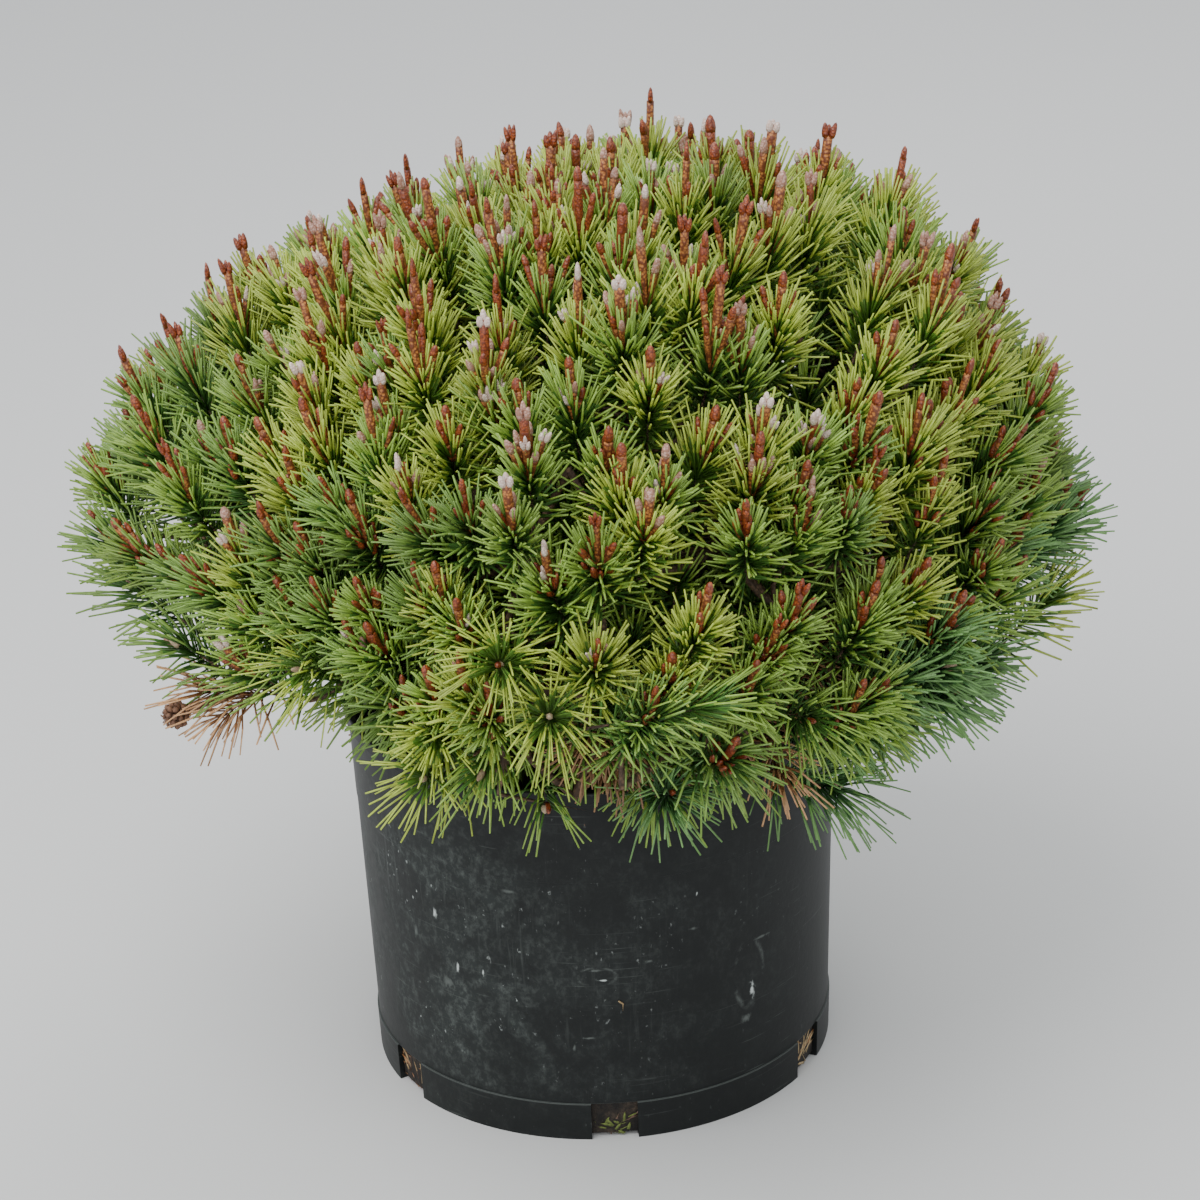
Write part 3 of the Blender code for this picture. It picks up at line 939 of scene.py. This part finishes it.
def add_pointed(bundle, path, radius, girths, slot, draw):
    radii = [radius * share for share in girths]
    bundle.add([path], [radii], CANDLE_SIDES, slot, np.array([draw.uniform(0, 6)]))


def add_bud(bundle, foot, heading, length, radius, slot, draw):
    path = [foot + heading * length * share for share in BUD_STATIONS]
    add_pointed(bundle, path, radius, BUD_GIRTH, slot, draw)


def add_cluster(bundle, shoot):
    """Many small buds round a shoot's end, as shoots below the top often carry."""
    draw = shoot.draw
    count = draw.randint(*CLUSTER_BUDS)
    sides = around_axis(shoot.heading, np.arange(count) * GOLDEN_ANGLE + draw.uniform(0, 6))
    for side in sides:
        out = draw.uniform(*CLUSTER_ROOM)
        depth = draw.uniform(-0.3, 1) * CLUSTER_DEPTH
        place = shoot.tip + Vector(side) * out - shoot.heading * depth
        heading = (shoot.heading + Vector(side) * 0.4 + UP * 0.5).normalized()
        length = BUD_LENGTH * draw.uniform(0.8, 1.3)
        add_bud(bundle, place, heading, length, BUD_RADIUS * draw.uniform(0.8, 1.05), RUST, draw)


def add_candle(bundle, shoot, number, side, tallest, resinous):
    """A scaly stalk with a bud or a few at its end. Number 0 stands in the middle."""
    draw = shoot.draw
    lean = math.radians(draw.uniform(*LATERAL_LEAN_DEG)) if number else 0
    heading = shoot.heading * math.cos(lean) + Vector(side) * math.sin(lean)
    heading = (heading + UP * CANDLE_LIFT).normalized()
    length = tallest * (draw.uniform(*LATERAL_LENGTHS) if number else 1)
    radius = CANDLE_RADIUS * draw.uniform(*CANDLE_GIRTHS) * (0.92 if number else 1.12)
    foot = shoot.tip - shoot.heading * CANDLE_DEPTHS[min(number, 1)]
    curve = (heading - UP * 0.12).normalized()
    path = [
        foot + (curve * (1 - share) + heading * share) * length * share for share in CANDLE_STATIONS
    ]
    stalk = draw.choice((SCALES, SCALES, SCALES, RUST))
    add_pointed(bundle, path, radius, CANDLE_GIRTH, stalk, draw)

    end = foot + heading * length * BUD_FROM
    slot = draw.choice((PINK, PINK, RESIN)) if resinous and draw.random() < 0.75 else RUST
    crowd = draw.choice((1, 2, 3)) if number == 0 and tallest > CROWDED_FROM else 1
    if slot == RESIN:
        crowd = draw.choice((2, 3, 3))
    bud_length = BUD_LENGTH * (0.8 if slot == RESIN else 1)
    bud_radius = radius * (CROWDED_GIRTH if crowd > 1 else 1.04)
    for member in range(crowd):
        angle = member * math.tau / crowd
        aside = Vector(around_axis(heading, np.array([angle]))[0]) * (0.6 if crowd > 1 else 0)
        place = end + aside * radius
        out = (heading + aside * 0.35).normalized()
        add_bud(bundle, place, out, bud_length * draw.uniform(0.75, 1.15), bud_radius, slot, draw)


def add_growth(bundle, shoot):
    """A shoot's candles and any cluster of buds. The lowest shoots have a bud or two instead."""
    draw = shoot.draw
    if shoot.rise < BUDS_ONLY_BELOW or (shoot.rise < 0.12 and draw.random() < 0.3):
        for _ in range(draw.choice((1, 1, 2))):
            place = shoot.tip + wander(draw, BUD_WANDER)
            length = BUD_LENGTH * draw.uniform(0.6, 1.0)
            slot = draw.choice((RUST, PINK, PALE, PALE))
            add_bud(bundle, place, shoot.heading, length, BUD_RADIUS * 0.85, slot, draw)
        return
    if shoot.rise < CLUSTER_BELOW and draw.random() < CLUSTER_SHARE:
        add_cluster(bundle, shoot)
    high = min(1, max(0, shoot.rise * 1.3))
    tallest = draw.uniform(*CANDLE_LENGTHS) * (0.55 + 0.45 * high)
    if draw.random() < TALL_SHARE:
        tallest *= TALL_BY
    resinous = draw.random() < 0.05 + 0.55 * high
    angles = np.arange(shoot.candles) * GOLDEN_ANGLE + draw.uniform(0, 6)
    for number, side in enumerate(around_axis(shoot.heading, angles)):
        add_candle(bundle, shoot, number, side, tallest, resinous)


def make_candles(shoots, *finishes):
    bundle = Bundle()
    for shoot in shoots:
        if shoot.candles:
            add_growth(bundle, shoot)
    return bundle.make("candles", *finishes)


def cone_axis():
    return (direction_of(0, CONE_PLACE[0]) - UP * 0.25).normalized()


def make_cone(finish):
    """An old open cone: woody scales on a golden spiral about its axis."""
    draw = random.Random("cone")
    bundle = Bundle()
    foot = listed_place(*CONE_PLACE)
    axis = cone_axis()
    sides = around_axis(axis, np.arange(CONE_SCALES) * GOLDEN_ANGLE)
    for number, side in enumerate(sides):
        along = (number + 0.5) / CONE_SCALES
        swell = math.sin(math.pi * (0.12 + 0.80 * along))
        start = foot + axis * CONE_LENGTH * along
        end = start + Vector(side) * CONE_RADIUS * swell + axis * CONE_LENGTH * 0.10
        lip = end + (Vector(side) + axis * 0.4).normalized() * 1.2 * MM
        width = 2.3 * MM * swell * draw.uniform(0.85, 1.1)
        bundle.add([[start, end, lip]], [[width * 0.4, width]], 5)
    stalk = [foot - axis * CONE_STALK, foot + axis * CONE_LENGTH * 0.9, foot + axis * CONE_LENGTH]
    bundle.add([stalk], [[2 * MM, 3 * MM]], 6)
    return bundle.make("cone", finish)


def make_twigs(shoots, spaces, forks, finish):
    """Twigs from each mass's heart to its forks, and the shoots from the nearest fork on."""
    bundle = Bundle()
    paths, radii = [], []
    for name, direction in spaces.items():
        heart = mass_heart(direction)
        for end in forks[name]:
            middle = (heart + end) / 2 - UP * 4 * MM
            paths.append([heart, middle, end, end + (end - heart).normalized() * 4 * MM])
            radii.append([TWIG_RADII[0], TWIG_RADII[0], TWIG_RADII[1]])
    every_fork = [fork for group in forks.values() for fork in group]
    every_fork += [mass_heart(direction) for direction in spaces.values()]
    ends = [(shoot.root, shoot.tip) for shoot in shoots]
    bare = shoots[-1]
    ends[-1] = (bare.root, bare.tip + bare.heading * BARE_END)
    cone_foot = listed_place(*CONE_PLACE)
    ends.append((cone_foot - cone_axis() * CONE_STALK, cone_foot))
    ends.append(tuple(listed_place(*place) for place in DEAD_TWIG))
    for root, tip in ends:
        fork = min(every_fork, key=lambda point: (point - root).length)
        middle = fork.lerp(root, 0.6) - UP * 2 * MM
        paths.append([fork, middle, root, tip])
        radii.append(SHOOT_RADII)
    bundle.add(paths, radii, 5)
    return bundle.make("twigs", finish)


# Stem and boughs


def rough_radii(path, widths, sides, depth, grain):
    """Radii of a limb's rings, ridged and cracked like bark, as (1, rings, sides)."""
    rows = []
    for point, width in zip(path, widths):
        row = []
        for k in range(sides):
            angle = math.tau * k / sides
            place = Vector((math.cos(angle) * width, math.sin(angle) * width, 0)) + point * 0.6
            ridge = abs(noise.noise(place * grain)) + 0.5 * noise.noise(place * grain * 2.3)
            row.append(width * (1 + depth * (ridge - 0.2)))
        rows.append(row)
    return [rows]


def make_limbs(spaces, finish):
    """The stem with its lobed flare, the leader, and every bough on to its mass's heart."""
    bundle = Bundle()
    foot = SOIL_LEVEL - 5 * MM
    levels = [foot + (STEM_TOP - foot) * number / (STEM_RINGS - 1) for number in range(STEM_RINGS)]
    path = [UP * level for level in levels]
    widths = [STEM_RADIUS] * STEM_RINGS
    radii = np.array(rough_radii(path, widths, STEM_SIDES, *STEM_BARK))
    for row, level in enumerate(levels):
        flare = max(0, 1 - (level - SOIL_LEVEL) / FLARE_HEIGHT) ** 2
        for k in range(STEM_SIDES):
            lobe = 1 + LOBE_DEPTH * math.cos(FLARE_LOBES * math.tau * k / STEM_SIDES)
            radii[0, row, k] += (FLARE_RADIUS * lobe - STEM_RADIUS) * min(flare, 1.1)
    bundle.add([path + [UP * (STEM_TOP + 3 * MM)]], radii, STEM_SIDES)

    for name, direction in spaces.items():
        limb = name.split("_")[0]
        tip = HEART + direction * reach(direction) * BOUGH_END
        if limb == "top":
            start, sag, first = UP * (STEM_TOP - 2 * MM), 0, LEADER_RADIUS
        else:
            ring = next(ring for ring in RINGS if ring[0] == limb)
            number = int(name.split("_")[1]) - 1
            start = UP * (ring[4] + ring[5] * (2 * number % ring[1]))
            sag, first = BOUGH_SAG, ring[6]
        middle = (start + tip) / 2 - UP * sag * (tip - start).length
        path, widths = [], []
        for number in range(BOUGH_RINGS):
            t = number / (BOUGH_RINGS - 1)
            path.append(start * (1 - t) ** 2 + middle * 2 * t * (1 - t) + tip * t**2)
            widths.append(first * (1 - (1 - BOUGH_TAPER) * t))
        radii = rough_radii(path, widths, BOUGH_SIDES, *BOUGH_BARK)
        bundle.add([path + [tip + (tip - path[-2]) * 0.3]], radii, BOUGH_SIDES)
        heart = mass_heart(direction)
        stations = [path[-2], path[-1], (path[-1] + heart) / 2, heart, heart + direction * 3 * MM]
        widths = [widths[-1] * 0.9, widths[-1] * 0.9, STEMLET_RADIUS * 1.15, STEMLET_RADIUS]
        radii = rough_radii(stations, widths, STEMLET_SIDES, *STEMLET_BARK)
        bundle.add([stations], radii, STEMLET_SIDES)
    return bundle.make("limbs", finish)


# Pot, potting mix and litter


def pot_wall_radius(height, top=POT_TOP_RADIUS - LIP_DEPTH, foot=POT_FOOT_RADIUS - BAND_DEPTH):
    """The outer radius of the plain wall, which widens evenly from foot to lip."""
    return foot + (top - foot) * height / POT_HEIGHT


def make_pot(finish):
    """The pot with its lip, ring line, foot band and notches, and every edge eased."""
    lip_foot = POT_HEIGHT - LIP_HEIGHT
    band_radius = pot_wall_radius(BAND_HEIGHT) + BAND_DEPTH
    profile = [
        (0, 0),
        (POT_FOOT_RADIUS, 0),
        (band_radius, BAND_HEIGHT),
        (pot_wall_radius(BAND_HEIGHT), BAND_HEIGHT),
        (pot_wall_radius(RING_LEVEL) - RING_STEP, RING_LEVEL),
        (pot_wall_radius(RING_LEVEL), RING_LEVEL),
        (pot_wall_radius(lip_foot), lip_foot),
        (POT_TOP_RADIUS, lip_foot + LIP_ROUND),
        (POT_TOP_RADIUS, POT_HEIGHT - LIP_ROUND),
        (POT_TOP_RADIUS - LIP_ROUND, POT_HEIGHT),
        (pot_wall_radius(POT_HEIGHT) - POT_WALL, POT_HEIGHT),
        (pot_wall_radius(FLOOR_THICKNESS) - POT_WALL, FLOOR_THICKNESS),
        (0, FLOOR_THICKNESS),
    ]
    pot = from_bmesh("pot_shell", lathe(profile, POT_SEGMENTS), finish)
    inner = pot_wall_radius(0) - POT_WALL - NOTCH_DEPTH
    outer = POT_TOP_RADIUS + POT_WALL
    for bearing in notch_bearings():
        bm = bmesh.new()
        bmesh.ops.create_cube(bm, size=1)
        bmesh.ops.scale(bm, vec=(outer - inner, NOTCH_WIDTH, 2 * BAND_HEIGHT), verts=bm.verts)
        cutter = from_bmesh("notch_cutter", bm)
        cutter.location = direction_of(0, bearing) * (outer + inner) / 2
        cutter.rotation_euler.z = math.radians(bearing)
        bpy.context.view_layer.update()
        cut = pot.modifiers.new("cut", "BOOLEAN")
        cut.operation = "DIFFERENCE"
        cut.object = cutter
        apply_modifiers(pot)
        bpy.data.objects.remove(cutter)
    ease = pot.modifiers.new("ease", "BEVEL")
    ease.width = POT_EDGE
    ease.segments = 2
    ease.angle_limit = math.radians(35)
    ease.harden_normals = True
    pot.data.shade_smooth()
    apply_modifiers(pot)
    return pot


def notch_bearings():
    return [FRONT_NOTCH_DEG + 360 * number / NOTCH_COUNT for number in range(NOTCH_COUNT)]


def apply_modifiers(piece):
    graph = bpy.context.evaluated_depsgraph_get()
    mesh = bpy.data.meshes.new_from_object(piece.evaluated_get(graph))
    piece.modifiers.clear()
    piece.data = mesh


def mix_level(x, y):
    """The potting mix's top, uneven but never far from its level."""
    place = Vector((x, y, 0))
    return SOIL_LEVEL + 3 * MM * noise.noise(place * 18) + 2 * MM * noise.noise(place * 60)


def make_mix(finish):
    """The potting mix: the solid's sides and foot, with a crumbled top."""
    foot = FLOOR_THICKNESS + SOIL_GAP
    edge = pot_wall_radius(SOIL_LEVEL) - POT_WALL - SOIL_GAP
    side = [(0, foot), (pot_wall_radius(foot) - POT_WALL - SOIL_GAP, foot)]
    top = [(edge * ring / MIX_RINGS, SOIL_LEVEL) for ring in range(MIX_RINGS, -1, -1)]
    bm = lathe(side + top, MIX_SEGMENTS)
    for vert in bm.verts:
        if vert.co.z > SOIL_LEVEL - MM:
            vert.co.z = mix_level(vert.co.x, vert.co.y)
    piece = from_bmesh("mix", bm, finish)
    piece.data.shade_smooth()
    return piece


def make_litter(*finishes):
    """Bark and fallen needles on the mix, what lies in the notches, and a bit of straw."""
    draw = random.Random("litter")
    bundle = Bundle()
    room = pot_wall_radius(SOIL_LEVEL) - POT_WALL - EDGE_ROOM
    for number in range(CHIP_COUNT + FALLEN_NEEDLES):
        out, around = room * math.sqrt(draw.random()), draw.uniform(0, math.tau)
        x, y = out * math.cos(around), out * math.sin(around)
        chip = number < CHIP_COUNT
        along = direction_of(draw.gauss(0, 9), draw.uniform(0, 360))
        length = draw.uniform(7, 20) * MM if chip else draw.uniform(26, 42) * MM
        radius = draw.uniform(1.5, 3.6) * MM if chip else 0.8 * MM
        middle = Vector((x, y, mix_level(x, y) + radius * 0.6))
        start, end = middle - along * length / 2, middle + along * length / 2
        sides = 5 if chip else NEEDLE_SIDES
        path = [start, end - along * length * 0.15, end]
        bundle.add([path], [[radius, radius]], sides, CHIP if chip else DEAD)
    for number, bearing in enumerate(notch_bearings()):
        outward = direction_of(0, bearing)
        aside = direction_of(0, bearing + 90)
        for _ in range(NOTCH_BITS):
            slot = draw.choice(NOTCH_LITTER[number])
            length = draw.uniform(4, 9) * MM if slot == MOSS else draw.uniform(8, 20) * MM
            level = draw.uniform(1.5, 20 if slot == MOSS else 18) * MM
            depth = pot_wall_radius(level) - POT_WALL - draw.uniform(0.5, 2.5) * MM
            middle = outward * depth + aside * draw.uniform(-0.3, 0.3) * NOTCH_WIDTH + UP * level
            along = (UP * draw.uniform(0.1, 1) + aside * draw.gauss(0, 0.7)).normalized()
            width = draw.uniform(0.7, 1.3) * MM
            path = [middle, middle + along * length * 0.6, middle + (along + outward * 0.1) * length]
            bundle.add([path], [[width, width]], NEEDLE_SIDES, slot)
    bearing, level, length = STRAW_BIT
    path = [
        place_of(bearing + turn, pot_wall_radius(level - down) + 0.7 * MM, level - down)
        for turn, down in ((-0.9, 0), (0.2, length * 0.3), (0.0, length))
    ]
    bundle.add([path], [[0.8 * MM, 0.8 * MM]], NEEDLE_SIDES, STRAW)
    return bundle.make("litter", *finishes)


# Camera, floor and light


def make_camera():
    elevation = math.radians(CAMERA_ELEVATION_DEG)
    back = Vector((0, -math.cos(elevation), math.sin(elevation)))
    data = bpy.data.cameras.new("camera")
    data.sensor_width = SENSOR
    data.lens = FOCAL_PIXELS / IMAGE_SIZE * SENSOR
    data.shift_x = -AIM_PIXEL_OFFSET[0] / IMAGE_SIZE
    data.shift_y = AIM_PIXEL_OFFSET[1] / IMAGE_SIZE
    data.clip_end = 50
    camera = in_scene("camera", data)
    camera.location = AIM + back * CAMERA_DISTANCE
    turn = (-back).to_track_quat("-Z", "Y").to_matrix().to_4x4()
    roll = Matrix.Rotation(math.radians(CAMERA_ROLL_DEG), 4, "Z")
    camera.rotation_euler = (turn @ roll).to_euler()
    bpy.context.scene.camera = camera


def area_light(name, place, size, power):
    data = bpy.data.lights.new(name, "AREA")
    data.shape = "DISK"
    data.size = size
    data.energy = power
    lamp = in_scene(name, data)
    lamp.location = place
    lamp.rotation_euler = (LAMP_AIM - Vector(place)).to_track_quat("-Z", "Y").to_euler()


def make_studio():
    bm = bmesh.new()
    bmesh.ops.create_grid(bm, x_segments=1, y_segments=1, size=9)
    look = Look("floor", 0.8, Base_Color=FLOOR_COLOUR)
    from_bmesh("floor", bm, look.material)
    world = bpy.data.worlds.new("studio")
    bpy.context.scene.world = world
    world.use_nodes = True
    background = world.node_tree.nodes["Background"]
    background.inputs["Color"].default_value = SKY_COLOUR
    background.inputs["Strength"].default_value = SKY_STRENGTH
    for lamp in LAMPS:
        area_light(*lamp)


def main():
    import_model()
    rng = np.random.default_rng(7)
    spaces = crown_spaces()
    shoots, forks = grow_shoots(spaces, rng)
    # Each tint has a darker foot material, partly painted shade, and a lighter end material.
    needle_finishes = {
        tint: (needle_finish(f"needle_{tint}", foot), needle_finish(f"needle_{tint}_end", end))
        for tint, (foot, end) in NEEDLE_COLOURS.items()
    }
    needles = make_needles(shoots, needle_finishes, rng)
    candles = make_candles(
        shoots,
        scaly("candle_scales", (0.13, 0.030, 0.010), (0.48, 0.180, 0.044), 0.5, 480),
        scaly("bud_rust", (0.13, 0.022, 0.008), (0.34, 0.076, 0.020), 0.36, 620),
        scaly("bud_pink", (0.28, 0.135, 0.090), (0.50, 0.32, 0.26), 0.55, 620),
        scaly("bud_resin", (0.50, 0.36, 0.30), (0.74, 0.64, 0.57), 0.6, 700),
        speckled("bud_pale", (0.22, 0.14, 0.08), (0.42, 0.32, 0.21), 0.6, fine=500),
    )
    twig_bark = scaly("twig_bark", (0.05, 0.028, 0.016), (0.17, 0.10, 0.055), 0.8, 330)
    twigs = make_twigs(shoots, spaces, forks, twig_bark)
    cone = make_cone(speckled("cone_scales", (0.07, 0.032, 0.018), (0.24, 0.12, 0.065), 0.75))
    limbs = make_limbs(spaces, bark_finish())
    pot = make_pot(pot_finish())
    mix = make_mix(soil_finish())
    litter = make_litter(
        speckled("bark_chips", (0.045, 0.025, 0.016), (0.15, 0.09, 0.06), 0.9),
        needle_finishes["dead"][0],
        speckled("straw", (0.28, 0.19, 0.09), (0.46, 0.35, 0.19), 0.7),
        speckled("moss", (0.045, 0.065, 0.012), (0.12, 0.15, 0.030), 0.85, fine=500),
    )

    for piece in (*needles, candles, twigs, cone, limbs, pot, mix, litter):
        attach(piece, "root")
    for piece in needles:
        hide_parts(*(f"foliage_{name}" for name in spaces))
    boughs = ["leader" if name == "top" else f"bough_{name}" for name in spaces]
    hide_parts("stem", *boughs)
    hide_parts("pot")
    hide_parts("potting_mix")

    make_camera()
    make_studio()


main()
